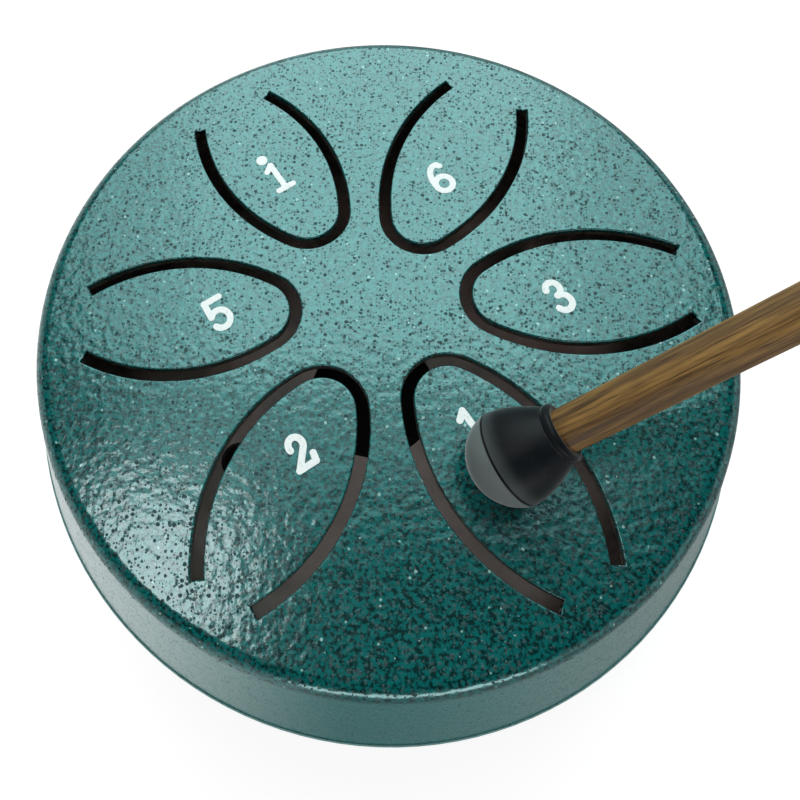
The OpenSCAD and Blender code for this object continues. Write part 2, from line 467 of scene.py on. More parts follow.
@dataclass(frozen=True)
class MouldedRubber:
    """Satin black rubber with fine grain and a little dust.

    Where a pale dome colour is given, the dome is paler, partly from wear of the playing face and
    partly as painted light from the front-left. The paleness fades onto the barrel near the parting
    line. A black line along the parting groove is painted shade. The line lies where a place's length
    along the axis is the parting, in metres.
    """

    finish: Finish
    base: tuple
    dusty: tuple
    rough: tuple
    scuffed_and_lit: Optional[tuple] = None
    axis: tuple = (0.0, 0.0, 1.0)
    parting: float = 0.0
    wear_and_light_reach: float = 0.0015
    barrel_wear_and_light: float = 0.32
    dome_edge: tuple = (0.00005, -0.00005)
    wear_and_light_cloud: tuple = (0.75, 1.15)
    line_half: tuple = (0.00014, 0.00007)
    clouds: tuple = (420.0, 4.0, 0.6)
    cloud_edge: tuple = (0.35, 0.7)
    cloud_lift: float = 1.7
    dust_rough: float = 0.3
    grain_scale: float = 6500.0
    grain_bump: tuple = (0.00001, 0.5)

    def build(self, effects: Effects) -> Material:
        """Builds the rubber: a clouded black under dust, with a fine grain.

        Args:
            effects: The shared node groups.

        Returns:
            The material.
        """
        coat = Coat(self.finish)
        place = coat.place()
        cloud = coat.noise(place, *self.clouds)
        dust = coat.group(effects.dust, Scale=3800.0, Amount=0.45)
        paled = tuple(self.cloud_lift * part for part in self.base[:3]) + (1.0,)
        colour = coat.mix(coat.step(cloud, *self.cloud_edge), self.base, paled)
        if self.scuffed_and_lit is not None:
            # Pale dome: partly wear of the playing face and partly painted light from the front-left.
            along = coat.vector("DOT_PRODUCT", place, self.axis, output="Value")
            past = coat.math("SUBTRACT", along, self.parting)
            dome = coat.span(coat.step(past, *self.dome_edge), self.barrel_wear_and_light, 1.0)
            worn = coat.math("MULTIPLY", coat.step(past, self.wear_and_light_reach, 0.0), dome)
            worn = coat.math("MULTIPLY", worn, coat.span(cloud, *self.wear_and_light_cloud))
            # Painted shade: a black line along the parting groove.
            parting_shade = coat.step(coat.math("ABSOLUTE", past), *self.line_half)
            colour = coat.mix(parting_shade, coat.mix(worn, colour, self.scuffed_and_lit), BLACK)
        rough, dusted = coat.span(cloud, *self.rough), coat.math("MULTIPLY", dust, self.dust_rough)
        return coat.finished({
            "Base Color": coat.mix(dust, colour, self.dusty),
            "Roughness": coat.math("ADD", rough, dusted, clamp=True),
            "Specular IOR Level": 0.12,
            "Sheen Weight": 0.4,
            "Sheen Roughness": 0.3,
            "Normal": coat.bump(coat.noise(place, self.grain_scale), *self.grain_bump),
        })


@dataclass(frozen=True)
class OiledWood:
    """Straight-grained brown wood with dark pores along the stick."""

    stick_turn: tuple
    golden: tuple = (0.215, 0.122, 0.034, 1.0)
    brown: tuple = (0.095, 0.052, 0.018, 1.0)
    pore: tuple = (0.030, 0.016, 0.006, 1.0)
    grain_scale: tuple = (1.0, 1.0, 0.045)
    band_noise: tuple = (1400.0, 3.0, 0.6)
    fibre_noise: tuple = (5200.0, 3.0, 0.65)
    pore_noise: tuple = (6500.0, 2.0, 0.5)
    band_edge: tuple = (0.36, 0.64)
    fibre_edge: tuple = (0.3, 0.7)
    fibre_shade: tuple = (0.58, 1.40)
    pore_edge: tuple = (0.60, 0.70)
    pore_depth: float = 0.6
    pore_share: float = 0.75
    rough: tuple = (0.42, 0.65)
    grain_bump: tuple = (0.00004, 0.6)

    def build(self) -> Material:
        """Builds the wood. Its grain is noise drawn out some twenty times along the stick.

        Returns:
            The material.
        """
        coat = Coat(Finish.STICK)
        along = coat.vector("MULTIPLY", coat.place(turn=self.stick_turn), self.grain_scale)
        bands = coat.step(coat.noise(along, *self.band_noise), *self.band_edge)
        fibres = coat.noise(along, *self.fibre_noise)
        pores = coat.step(coat.noise(along, *self.pore_noise), *self.pore_edge)
        shade = coat.span(coat.step(fibres, *self.fibre_edge), *self.fibre_shade)
        feeds = {0: coat.mix(bands, self.brown, self.golden), "Scale": shade}
        tinted = coat.fed("ShaderNodeVectorMath", feeds, operation="SCALE")
        height = coat.math("SUBTRACT", fibres, coat.math("MULTIPLY", pores, self.pore_depth))
        darkened = coat.math("MULTIPLY", pores, self.pore_share)
        return coat.finished({
            "Base Color": coat.mix(darkened, tinted, self.pore),
            "Roughness": coat.span(fibres, *self.rough),
            "Specular IOR Level": 0.25,
            "Normal": coat.bump(height, *self.grain_bump),
        })


def add_object(name: str, data: bpy.types.ID) -> bpy.types.Object:
    """Makes an object and links it into the scene.

    Args:
        name: Name of the object.
        data: Its mesh, camera or light.

    Returns:
        The new object.
    """
    made = bpy.data.objects.new(name, data)
    bpy.context.scene.collection.objects.link(made)
    return made


@dataclass
class MeshKit:
    """Collects surface patches, in millimetres, and welds them into one mesh."""

    patches: list = field(default_factory=list)

    def patch(self, points: Array, normals: Array, faces: Array, slot: int) -> None:
        """Adds N by 3 points and their unit normals, and faces as rows of indices, in one material."""
        self.patches.append((points, normals, faces, np.full(len(faces), slot)))

    def grid(self, points: Array, normals: Array, slot: int) -> None:
        """Adds a grid of points, whose last column joins its first, as quads.

        Args:
            points: Rows by columns by 3 places.
            normals: Unit normals in the same layout.
            slot: Index of the material.
        """
        rows, columns = points.shape[:2]
        index = np.arange(rows * columns).reshape(rows, columns)
        after = np.roll(index, -1, axis=1)
        quads = np.stack([index[:-1], after[:-1], after[1:], index[1:]], axis=-1).reshape(-1, 4)
        flat_points, flat_normals = points.reshape(-1, 3), normals.reshape(-1, 3)
        corner = [flat_points[quads[:, i]] for i in range(4)]
        facing = np.cross(corner[2] - corner[0], corner[3] - corner[1])
        if (facing * flat_normals[quads[:, 0]]).sum() < 0:
            quads = quads[:, ::-1]
        self.patch(flat_points, flat_normals, quads, slot)

    def build(self, name: str, materials: Sequence[Material]) -> bpy.types.Object:
        """Welds the patches where their points meet and makes the object.

        Args:
            name: Name of the object.
            materials: Materials in slot order.

        Returns:
            The new object, at the origin, with its own corner normals.
        """
        places, normals, faces, slots = zip(*self.patches)
        points, normals, slots = (np.concatenate(parts) for parts in (places, normals, slots))
        keys = np.round(points / JOIN_GAP_MM).astype(np.int64)
        _, first, owner = np.unique(keys, axis=0, return_index=True, return_inverse=True)
        owner = owner.reshape(-1)
        starts = np.cumsum([0] + [len(part) for part in places[:-1]])
        corners = np.concatenate([(part + start).reshape(-1) for part, start in zip(faces, starts)])
        sizes = np.concatenate([np.full(len(part), part.shape[1]) for part in faces])
        loop_starts = np.concatenate([[0], np.cumsum(sizes)[:-1]])
        mesh = bpy.data.meshes.new(name)
        mesh.vertices.add(len(first))
        mesh.vertices.foreach_set("co", (points[first] * MM).astype(np.float32).reshape(-1))
        mesh.loops.add(len(corners))
        mesh.loops.foreach_set("vertex_index", owner[corners].astype(np.int32))
        mesh.polygons.add(len(sizes))
        mesh.polygons.foreach_set("loop_start", loop_starts.astype(np.int32))
        mesh.polygons.foreach_set("material_index", slots.astype(np.int32))
        mesh.polygons.foreach_set("use_smooth", np.ones(len(sizes), dtype=bool))
        for material in materials:
            mesh.materials.append(material)
        mesh.update(calc_edges=True)
        mesh.normals_split_custom_set(normals[corners].tolist())
        return add_object(name, mesh)


def circle(radius: float, steps: int) -> Array:
    """Corners of a circle about the origin, counter-clockwise."""
    turn = np.linspace(0, 2 * math.pi, steps, endpoint=False)
    return radius * np.stack([np.cos(turn), np.sin(turn)], axis=1)


def sweep(points: Array, normals: Array, steps: int) -> tuple:
    """Turns a profile about the axis in equal steps.

    Args:
        points: K by 2 radii and heights.
        normals: K by 2 unit normals, outward and up.
        steps: Number of steps in a full turn.

    Returns:
        Points and normals, each K by steps by 3.
    """
    ring = circle(1.0, steps)
    swept = []
    for pair in (points, normals):
        rise = np.repeat(pair[:, 1][:, None, None], steps, axis=1)
        swept.append(np.concatenate([pair[:, None, :1] * ring[None], rise], axis=2))
    return tuple(swept)


def raised(outline: Array, *heights: float) -> Array:
    """Copies N flat points to each of the heights, as heights by N by 3 places."""
    columns = [np.full((len(outline), 1), height) for height in heights]
    return np.stack([np.concatenate([outline, column], axis=1) for column in columns])


def quarter_round(radius: float) -> tuple:
    """Rounding of an edge: distances past the wall, depths under the face, and leans."""
    turn = np.linspace(0, math.pi / 2, EDGE_STEPS)
    return radius * (1 - np.sin(turn)), radius * (1 - np.cos(turn)), turn


def inside(loop: Array, places: Array) -> Array:
    """Even-odd test: inside, a ray to the right crosses the loop an odd number of times.

    Args:
        loop: K by 2 corners of a closed outline.
        places: N by 2 places.

    Returns:
        N booleans.
    """
    ax, ay = loop[:, 0][:, None], loop[:, 1][:, None]
    bx, by = np.roll(loop[:, 0], -1)[:, None], np.roll(loop[:, 1], -1)[:, None]
    x, y = places[:, 0][None, :], places[:, 1][None, :]
    spans = (ay > y) != (by > y)
    rise = np.where(by == ay, 1.0, by - ay)
    crossing = spans & (x < ax + (y - ay) / rise * (bx - ax))
    return crossing.sum(axis=0) % 2 == 1


def fill(outlines: Sequence[Array]) -> tuple:
    """Cuts the region inside the first outline and outside the others into triangles.

    Args:
        outlines: Closed outlines, the outer one first.

    Returns:
        Points and counter-clockwise triangles.
    """
    points = np.concatenate(outlines)
    starts = np.cumsum([0] + [len(part) for part in outlines[:-1]])
    rings = []
    for part, start in zip(outlines, starts):
        order = np.arange(len(part))
        rings.append(np.stack([order, np.roll(order, -1)], axis=1) + start)
    edges = np.concatenate(rings).tolist()
    result = delaunay_2d_cdt([Vector(pair) for pair in points.tolist()], edges, [], 0, SAME_POINT_MM)
    made = np.array([tuple(place) for place in result[0]])
    faces = np.array(result[2])
    middle = made[faces].mean(axis=1)
    keep = inside(outlines[0], middle)
    for loop in outlines[1:]:
        keep &= ~inside(loop, middle)
    faces = faces[keep]
    first, second, third = (made[faces[:, i]] for i in range(3))
    area = np.cross(second - first, third - first)
    return made, np.where((area > 0)[:, None], faces, faces[:, ::-1])


@dataclass(frozen=True)
class Tongue:
    """One tongue: its numeral, its length, and its place as shares of the common sizes."""

    numeral: str
    length: float
    tip_share: float
    gap_share: float
    numeral_at: tuple


@dataclass
class PressedDish:
    """A round dish pressed from sheet, open at the seam where it meets the other dish, in millimetres.

    Its outline runs from the flat along an arc of the bend to the straight skirt, which leans outward
    by the flare towards the seam. Side is 1 for the upper dish and -1 for the lower one.
    """

    height: float
    bend_r: float
    side: int
    seam_r: float = 40.0
    sheet: float = 1.0
    seam_z: float = 18.0
    flare: float = 20.0
    rim_cut: float = 0.7
    root_cut: float = 0.15
    round_steps: int = 384
    skirt_steps: int = 8
    bend_steps: tuple = (18, 12)

    @property
    def flat_z(self) -> float:
        """Height of the flat's outer surface."""
        return self.seam_z + self.side * self.height

    @property
    def inner_z(self) -> float:
        """Height of the flat's inner surface."""
        return self.flat_z - self.side * self.sheet

    def flat_r(self, inset: float) -> float:
        """Radius at which the flat turns into the bend."""
        return self.profile(inset, 2)[0][0, 0]

    def profile(self, inset: float, steps: int) -> tuple:
        """Half outline from the flat's edge to the rim.

        Args:
            inset: Distance inward from the outer surface.
            steps: Number of points on the bend.

        Returns:
            Points and normals as radius and height.
        """
        lean = math.radians(self.flare)
        normal = np.array([math.cos(lean), math.sin(lean)])
        along = np.array([-math.sin(lean), math.cos(lean)])
        start = np.array([self.seam_r, 0.0]) - self.bend_r * normal
        centre = start + (self.height - self.bend_r - start[1]) / along[1] * along
        turn = np.linspace(math.pi / 2, lean, steps)
        arc_normals = np.stack([np.cos(turn), np.sin(turn)], axis=1)
        bend = centre + (self.bend_r - inset) * arc_normals
        rim_h = self.rim_cut if inset == 0 else self.root_cut
        rim = bend[-1] + (rim_h - bend[-1, 1]) / along[1] * along
        share = np.linspace(0, 1, self.skirt_steps + 1)[1:, None]
        points = np.concatenate([bend, bend[-1] + share * (rim - bend[-1])])
        normals = np.concatenate([arc_normals, np.repeat(normal[None], len(share), axis=0)])
        return points * [1, self.side] + [0, self.seam_z], normals * [1, self.side]

    def flat(self, kit: MeshKit, loops: Sequence[Array], outer: bool) -> None:
        """Adds one side of the flat, a disc cut into triangles between its outlines.

        Args:
            kit: The mesh in the making.
            loops: Outlines of the holes.
            outer: Whether this is the painted outer side.
        """
        radius = self.flat_r(0.0 if outer else self.sheet)
        made, faces = fill([circle(radius, self.round_steps)] + list(loops))
        up = self.side if outer else -self.side
        if up < 0:
            faces = faces[:, ::-1]
        normals = np.tile([0.0, 0.0, float(up)], (len(made), 1))
        height = self.flat_z if outer else self.inner_z
        kit.patch(raised(made, height)[0], normals, faces, PAINTED if outer else BARE)

    def walls(self, kit: MeshKit) -> None:
        """Adds the bend, the skirt and the rim, inside and out.

        Args:
            kit: The mesh in the making.
        """
        outer, outer_normals = self.profile(0.0, self.bend_steps[0])
        inner, inner_normals = self.profile(self.sheet, self.bend_steps[1])
        kit.grid(*sweep(outer, outer_normals, self.round_steps), PAINTED)
        kit.grid(*sweep(inner, -inner_normals, self.round_steps), BARE)
        rim = np.stack([inner[-1], outer[-1]])
        fall = (rim[1] - rim[0])[::-1] * [1, -1] * self.side
        fall = fall / np.linalg.norm(fall)
        kit.grid(*sweep(rim, np.stack([fall, fall]), self.round_steps), BARE)


@dataclass
class BottomShell(PressedDish):
    """The lower pressed dish with its sound hole and the three holes for the feet's stems."""

    height: float = 18.0
    bend_r: float = 8.0
    side: int = -1
    sound_hole_r: float = 9.0
    edge_r: float = 0.25
    foot_hole_r: float = 1.72
    foot_ring_r: float = 21.0
    foot_bearings: tuple = (90.0, 210.0, 330.0)
    hole_steps: int = 192
    stem_steps: int = 48

    def sound_hole(self, kit: MeshKit) -> None:
        """Adds the hole's edge: a painted quarter round of edge_r, then the upright cut.

        Args:
            kit: The mesh in the making.
        """
        past, depth, turn = quarter_round(self.edge_r)
        edge = np.stack([self.sound_hole_r + past, self.flat_z + depth], axis=1)
        normals = -np.stack([np.sin(turn), np.cos(turn)], axis=1)
        kit.grid(*sweep(edge, normals, self.hole_steps), PAINTED)
        upright = np.array([edge[-1], [self.sound_hole_r, self.inner_z]])
        kit.grid(*sweep(upright, np.array([[-1.0, 0.0], [-1.0, 0.0]]), self.hole_steps), CUT)

    def build(self, materials: Sequence[Material]) -> bpy.types.Object:
        """Builds the dressed lower dish and puts it in the place of the plain one.

        Args:
            materials: Paint, cut edge and inside, in that order.

        Returns:
            The new object.
        """
        kit = MeshKit()
        self.walls(kit)
        turns = np.radians(self.foot_bearings)
        centres = self.foot_ring_r * np.stack([np.cos(turns), np.sin(turns)], axis=1)
        stems = [centre + circle(self.foot_hole_r, self.stem_steps) for centre in centres]
        self.flat(kit, [circle(self.sound_hole_r + self.edge_r, self.hole_steps)] + stems, True)
        self.flat(kit, [circle(self.sound_hole_r, self.hole_steps)] + stems, False)
        self.sound_hole(kit)
        for stem, centre in zip(stems, centres):
            inward = raised((centre - stem) / self.foot_hole_r, 0.0, 0.0)
            kit.grid(raised(stem, self.flat_z, self.inner_z), inward, CUT)
        piece = kit.build("lower_dish", materials)
        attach(piece, "drum")
        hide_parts("bottom_shell")
        return piece


@dataclass
class TopShell(PressedDish):
    """The upper pressed dish with its six slit tongues, in millimetres and degrees."""

    height: float = 15.2
    bend_r: float = 1.8
    side: int = 1
    slot_w: float = 1.2
    hub_r: float = 8.3
    tip_r: float = 3.9
    tip_turn: float = 58.6
    first_bearing: float = 126.9
    slot_edge_r: float = 0.14
    paint_in_slot: float = 0.40
    arc_steps: int = 60
    tip_steps: int = 49
    tongues: tuple = (
        Tongue("i", 20.1, 1.10, 1.15, (-11.9, 15.4)),
        Tongue("6", 21.4, 0.88, 1.13, (6.1, 15.1)),
        Tongue("3", 21.7, 1.07, 0.93, (17.9, 1.7)),
        Tongue("1", 23.2, 0.955, 0.77, (9.3, -11.9)),
        Tongue("2", 21.9, 1.01, 0.72, (-6.5, -15.2)),
        Tongue("5", 21.3, 0.99, 0.92, (-16.0, -1.8)),
    )

    def slot_path(self, tongue: Tongue, index: int) -> tuple:
        """Middle line of one slot: a gentle arc in, a tip arc, and a gentle arc out, all tangent.

        The gentle arcs are larger than the tip's by an extra radius. It is the one at which an arc
        leaves the tip's arc tangent, tip_turn from its middle, and passes the end of the slot, half
        a gap from the tongue's middle line at the tongue's full length.

        Args:
            tongue: The tongue inside the slot.
            index: Its place round the drum.

        Returns:
            Arc centres, arc radii and unit directions from the centres, one row for each point.
        """
        half_gap = self.tip_r * tongue.gap_share
        reach = tongue.length - self.tip_r
        alpha = math.radians(self.tip_turn)
        extra = (reach**2 + half_gap**2 - self.tip_r**2) / (
            2 * (self.tip_r + reach * math.cos(alpha) - half_gap * math.sin(alpha))
        )
        side = np.array([extra * math.cos(alpha), extra * math.sin(alpha)])
        end = math.atan2(half_gap + side[1], reach - side[0])
        gentle = np.linspace(end, math.pi - alpha, self.arc_steps)
        tight = np.linspace(math.pi - alpha, math.pi + alpha, self.tip_steps)[1:-1]
        angle = np.concatenate([gentle, tight, 2 * math.pi - gentle[::-1]])
        centre = np.zeros((len(angle), 2))
        centre[: self.arc_steps] = side * [1, -1]
        centre[-self.arc_steps :] = side
        radius = np.full(len(angle), self.tip_r + extra)
        radius[self.arc_steps : -self.arc_steps] = self.tip_r
        bearing = math.radians(self.first_bearing - 360.0 / len(self.tongues) * index)
        east, north = math.cos(bearing), math.sin(bearing)
        turn = np.array([[east, north], [-north, east]])
        centre = (centre + [self.hub_r * tongue.tip_share + self.tip_r, 0]) @ turn
        return centre, radius, np.stack([np.cos(angle), np.sin(angle)], axis=1) @ turn

    def slot_loop(self, path: tuple, grow: float) -> tuple:
        """Outline of a slot's hole: its middle line pushed half the slot to each side.

        Args:
            path: The slot's middle line.
            grow: Distance past the slot's own wall, all round.

        Returns:
            Points and outward normals of the hole's outline, counter-clockwise.
        """
        centre, radius, direction = path
        half = self.slot_w / 2 + grow
        outer = centre + (radius + half)[:, None] * direction
        inner = centre + (radius - half)[:, None] * direction
        back = np.stack([-direction[:, 1], direction[:, 0]], axis=1)
        push = np.zeros(len(outer))
        push[0], push[-1] = -grow, grow
        outer = outer + push[:, None] * back
        inner = inner + push[:, None] * back
        points = np.concatenate([outer, inner[::-1]])
        return points, np.concatenate([direction, -direction[::-1]])

    def slot_walls(self, kit: MeshKit, path: tuple) -> None:
        """Adds one slot's rounded painted edge and its bare wall.

        The edge is a quarter round of slot_edge_r: it starts level at the face and ends upright in the
        wall, which drops through the sheet.

        Args:
            kit: The mesh in the making.
            path: The slot's middle line.
        """
        edge = list(zip(*quarter_round(self.slot_edge_r)))
        paint_end = self.slot_edge_r + self.paint_in_slot
        rings, ring_normals = [], []
        for grow, drop, lean in edge + [(0.0, paint_end, math.pi / 2)]:
            points, normals = self.slot_loop(path, grow)
            rings.append(raised(points, self.flat_z - drop)[0])
            ring_normals.append(raised(-math.sin(lean) * normals, math.cos(lean))[0])
        kit.grid(np.array(rings), np.array(ring_normals), PAINTED)
        wall = raised(points, self.flat_z - paint_end, self.inner_z)
        kit.grid(wall, raised(-normals, 0.0, 0.0), CUT)

    def build(self, materials: Sequence[Material]) -> bpy.types.Object:
        """Builds the dressed upper dish and puts it in the place of the plain one.

        Args:
            materials: Paint, slot wall and inside, in that order.

        Returns:
            The new object.
        """
        kit = MeshKit()
        self.walls(kit)
        paths = [self.slot_path(tongue, index) for index, tongue in enumerate(self.tongues)]
        self.flat(kit, [self.slot_loop(path, self.slot_edge_r)[0] for path in paths], True)
        self.flat(kit, [self.slot_loop(path, 0.0)[0] for path in paths], False)
        for path in paths:
            self.slot_walls(kit, path)
        piece = kit.build("top_dish", materials)
        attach(piece, "drum")
        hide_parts("top_shell")
        return piece


def arc(centre: tuple, radii: tuple, start: float, stop: float) -> Array:
    """Points on an ellipse's arc, from one angle in degrees to another."""
    turn = np.radians(np.linspace(start, stop, STROKE_STEPS))
    return np.array(centre) + np.stack([np.cos(turn), np.sin(turn)], axis=1) * radii


def line(*points: tuple) -> Array:
    """Points of a plain stroke."""
    return np.array(points, dtype=float)


# Middle lines of each numeral's strokes, in shares of its width and height.
NUMERAL_STROKES: dict = {
    "1": [
        line((0.47, 0.94), (0.47, 0.06)),
        line((0.47, 0.93), (0.20, 0.78)),
        line((0.16, 0.06), (0.80, 0.06)),
    ],
    "2": [
        np.concatenate([arc((0.46, 0.68), (0.25, 0.20), 195, -35), line((0.16, 0.12))]),
        line((0.14, 0.115), (0.79, 0.115)),
        line((0.78, 0.115), (0.83, 0.31)),
    ],
    "3": [
        arc((0.44, 0.72), (0.25, 0.20), 165, -95),
        arc((0.44, 0.29), (0.29, 0.22), 92, -165),
    ],
    "5": [
        line((0.20, 0.90), (0.82, 0.90)),
        line((0.21, 0.91), (0.19, 0.46)),
        arc((0.47, 0.31), (0.34, 0.26), 140, -150),
    ],
    "6": [
        arc((0.50, 0.29), (0.33, 0.24), -10, 190),
        arc((0.50, 0.29), (0.33, 0.24), 170, 370),
        arc((0.64, 0.36), (0.47, 0.57), 185, 76),
        line((0.75, 0.90), (0.81, 0.83)),
    ],
}


@dataclass
class Numerals:
    """White numerals printed on the tongues, upright towards the first tongue, in millimetres."""

    shell: TopShell
    height: float = 3.9
    width: float = 2.75
    stroke: float = 0.66
    ink: float = 0.032
    layer_ink: float = 0.002
    up_bearing: float = 126.0
    middle: tuple = (0.48, 0.5)
    dot_at: tuple = (0.30, 1.0)
    dot_r: float = 0.62
    dot_gap: float = 0.22
    dot_steps: int = 32
    cap_steps: int = 9

    def axes(self) -> tuple:
        """Directions to the right of a numeral and up it."""
        east, north, _ = heading(self.up_bearing - 90, 0.0)
        return np.array([east, north]), np.array([-north, east])

    def ribbon(self, spine: Array) -> Array:
        """Outline of one stroke: its middle line pushed half the stroke to each side, with round ends.

        Args:
            spine: Points of the middle line.

        Returns:
            Outline points, counter-clockwise.
        """
        step = np.gradient(spine, axis=0)
        step *= self.stroke / 2 / np.linalg.norm(step, axis=1)[:, None]
        side = np.stack([-step[:, 1], step[:, 0]], axis=1)
        turn = np.radians(np.linspace(90, -90, self.cap_steps)[1:-1])[:, None]
        cap_end = spine[-1] + np.cos(turn) * step[-1] + np.sin(turn) * side[-1]
        cap_start = spine[0] - np.cos(turn) * step[0] - np.sin(turn) * side[0]
        return np.concatenate([spine + side, cap_end, (spine - side)[::-1], cap_start])[::-1]

    def stamp(self, kit: MeshKit, outline: Array, layer: int) -> None:
        """Adds one thin slab of ink, a hair higher for each further layer.

        Args:
            kit: The mesh in the making.
            outline: The slab's outline.
            layer: Number of layers under this one.
        """
        low = self.shell.flat_z
        high = low + self.ink + self.layer_ink * layer
        made, faces = fill([outline])
        up = np.tile([0.0, 0.0, 1.0], (len(made), 1))
        kit.patch(raised(made, high)[0], up, faces, 0)
        kit.patch(raised(made, low)[0], -up, faces[:, ::-1], 0)
        step = np.roll(outline, -1, axis=0) - np.roll(outline, 1, axis=0)
        out = np.stack([step[:, 1], -step[:, 0]], axis=1) / np.linalg.norm(step, axis=1)[:, None]
        kit.grid(raised(outline, low, high), raised(out, 0.0, 0.0), 0)

    def place(self, shape: Array, at: Array) -> Array:
        """Turns a numeral's points from shares of its size to their place on the face.

        Args:
            shape: N by 2 shares of the width and height.
            at: The numeral's middle on the face.

        Returns:
            N by 2 places.
        """
        right, up = self.axes()
        sized = (shape - self.middle) * [self.width, self.height]
        return at + sized[:, :1] * right + sized[:, 1:] * up

    def build(self, material: Material) -> list:
        """Builds one piece for each numeral. The i is a 1 with a dot, and stands lower by half the dot.

        Args:
            material: The ink.

        Returns:
            The new objects.
        """
        made = []
        up = self.axes()[1]
        for tongue in self.shell.tongues:
            kit = MeshKit()
            strokes = NUMERAL_STROKES.get(tongue.numeral, NUMERAL_STROKES["1"])
            at = np.array(tongue.numeral_at)
            if tongue.numeral == "i":
                at = at - up * (self.dot_r + self.dot_gap / 2)
                dot = self.place(line(self.dot_at), at) + up * (self.dot_gap + self.dot_r)
                self.stamp(kit, dot + circle(self.dot_r, self.dot_steps), len(strokes))
            for layer, spine in enumerate(strokes):
                self.stamp(kit, self.ribbon(self.place(spine, at)), layer)
            piece = kit.build("numeral_" + tongue.numeral, [material])
            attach(piece, "drum")
            made.append(piece)
        return made


def heading(bearing: float, height: float) -> tuple:
    """Unit vector at a bearing round the drum and a height over the level, both in degrees."""
    turn, high = math.radians(bearing), math.radians(height)
    return (math.cos(high) * math.cos(turn), math.cos(high) * math.sin(turn), math.sin(high))


@dataclass(frozen=True)
class Mallet:
    """Direction of the mallet's stick, in degrees, and place of its head's parting line, in metres."""

    bearing: float = 25.6
    rise: float = 36.0
    parting: float = 0.02509

    def axis(self) -> tuple:
        """Direction of the stick, from the dome to the grip."""
        return heading(self.bearing, self.rise)

    def turn(self) -> tuple:
        """Rotation that brings the stick's own axis onto +Z, for the grain's Mapping node.

        Returns:
            Euler angles in radians.
        """
        spun = Matrix.Rotation(math.radians(self.bearing), 3, "Z")
        tilted = Matrix.Rotation(math.radians(90 - self.rise), 3, "Y")
        return tuple((spun @ tilted).inverted().to_euler("XYZ"))

    def dress(self, head: Material, stick: Material) -> None:
        """Gives the two nodes their finishes."""
        dress_node("mallet_head", head)
        dress_node("mallet_stick", stick)


def dress_node(name: str, material: Material) -> None:
    """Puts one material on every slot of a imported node.

    Args:
        name: Name of the node.
        material: The finish.
    """
    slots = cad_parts[name].data.materials
    if not slots:
        slots.append(material)
    for index in range(len(slots)):
        slots[index] = material
    LOG.info("%s wears %s", name, material.name)


@dataclass(frozen=True)
class PhotoCamera:
    """The near camera that took the photograph, found from the drum's outline.

    Lengths are in millimetres and angles in degrees.
    """

    elevation: float = 66.10
    distance: float = 68.60
    focal_px: float = 683.39
    pan: float = -4.491
    roll: float = 2.4456
    centre_px: tuple = (323.8, 301.0)
    target_z: float = 33.2

    def build(self) -> None:
        """Builds the camera on its orbit, turned by the pan and then by the roll."""
        data = bpy.data.cameras.new("photo_camera")
        data.sensor_width = 36.0
        data.lens = self.focal_px / PHOTO_PX * data.sensor_width
        data.shift_x = (PHOTO_PX / 2 - self.centre_px[0]) / PHOTO_PX
        data.shift_y = (self.centre_px[1] - PHOTO_PX / 2) / PHOTO_PX
        data.clip_start = 0.001
        data.clip_end = 20.0
        axes = Matrix.Identity(4)
        for degrees, axis in ((90 - self.elevation, "X"), (-self.pan, "Y"), (self.roll, "Z")):
            axes = axes @ Matrix.Rotation(math.radians(degrees), 4, axis)
        place = self.distance * Vector(heading(-90, self.elevation)) + Vector((0, 0, self.target_z))
        camera = add_object("photo_camera", data)
        camera.matrix_world = Matrix.Translation(place * MM) @ axes
        bpy.context.scene.camera = camera


@dataclass(frozen=True)
class Softbox:
    """A soft area light aimed at a place on the drum: sizes in metres, angles in degrees."""

    name: str
    bearing: float
    height: float
    distance: float
    width: float
    depth: float
    power: float
    colour: tuple
    aim: tuple = (0.0, 0.0, 33.2)

    def build(self) -> None:
        """Builds the light. The place that it is aimed at is in millimetres."""
        data = bpy.data.lights.new(self.name, "AREA")
        data.shape = "RECTANGLE"
        data.size = self.width
        data.size_y = self.depth
        data.energy = self.power
        data.color = self.colour
        lamp = add_object(self.name, data)
        away = Vector(heading(self.bearing, self.height))
        lamp.location = away * self.distance + Vector(self.aim) * MM
        lamp.rotation_euler = away.to_track_quat("Z", "Y").to_euler()


